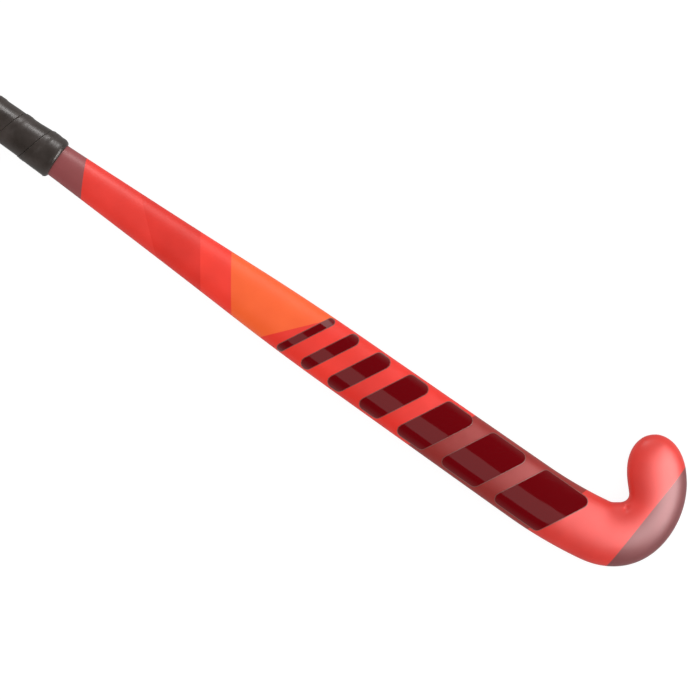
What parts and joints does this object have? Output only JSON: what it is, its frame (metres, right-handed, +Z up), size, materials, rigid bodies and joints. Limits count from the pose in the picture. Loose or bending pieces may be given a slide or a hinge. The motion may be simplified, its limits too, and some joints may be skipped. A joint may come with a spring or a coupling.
{
  "type": "indoor hockey stick",
  "caption": "Hockey stick with a flat playing face, a rounded back, a tight hooked head and a spiral-wound handle grip, lying on its face.",
  "frame": {"origin": "under the middle of the whole stick, on the surface that it lies on", "axes": "+X down the shaft to the head, +Y the way the toe points, +Z up from the playing face to the rounded back"},
  "size_m": [0.927, 0.1202, 0.0404],
  "materials": {
    "satin_paint": "satin paint in angular blocks of maroon, reds and orange over a fibre skin, with gloss dark red bars",
    "fibre_tube": "cured fibre and resin, left as moulded",
    "core_foam": "rigid closed-cell foam",
    "black_rubber": "moulded, matt",
    "steel": "turned bar",
    "grip_padding": "thin cushioned sleeve",
    "edge_tape": "stretched vinyl tape",
    "grip_skin": "soft satin black grip tape with a fine grain"
  },
  "bodies": {
    "root": {"composite_shell": "satin_paint", "inner_tube_toe_side": "fibre_tube", "inner_tube_heel_side": "fibre_tube", "head_core": "core_foam", "handle_plug": "core_foam", "damper_plug": "black_rubber", "butt_cap": "black_rubber", "balance_weight": "steel", "grip_underlay": "grip_padding", "upper_edge_tape": "edge_tape", "lower_edge_tape": "edge_tape", "grip_wrap": "grip_skin"}
  },
  "joints": []
}
